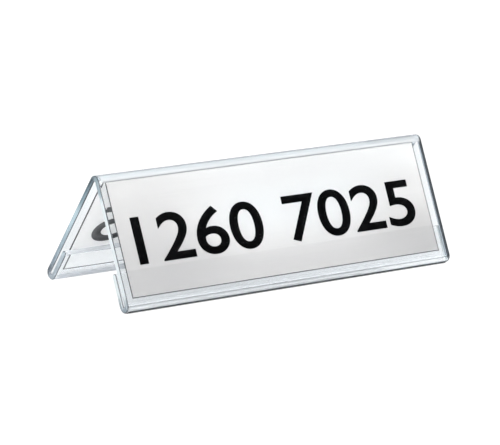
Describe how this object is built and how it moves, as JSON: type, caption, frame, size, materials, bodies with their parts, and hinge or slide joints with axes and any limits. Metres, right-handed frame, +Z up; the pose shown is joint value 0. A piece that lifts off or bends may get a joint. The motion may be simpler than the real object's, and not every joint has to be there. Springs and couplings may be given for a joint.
{
  "type": "desk name plate",
  "caption": "Tent-shaped desk name plate: a sheet of clear acrylic bent into leaning panels with slotted feet, and a slip-in card behind each panel.",
  "frame": {"origin": "on the desk under the middle of the tent, at the bottom centre of its bounding box", "axes": "+X along the ridge, -Y out of the front panel, +Z up"},
  "size_m": [0.2276, 0.0728, 0.0663],
  "materials": {
    "clear_acrylic": "clear, polished",
    "card_stock": "matt"
  },
  "bodies": {
    "holder": {"acrylic_tent": "clear_acrylic"},
    "front_insert": {"front_card": "card_stock"},
    "rear_insert": {"rear_card": "card_stock"}
  },
  "joints": [
    {"name": "front_card_slide", "type": "slide", "parent": "holder", "child": "front_insert", "axis": [1, 0, 0], "range_m": [-0.225, 0.225]},
    {"name": "rear_card_slide", "type": "slide", "parent": "holder", "child": "rear_insert", "axis": [1, 0, 0], "range_m": [-0.225, 0.225]}
  ]
}
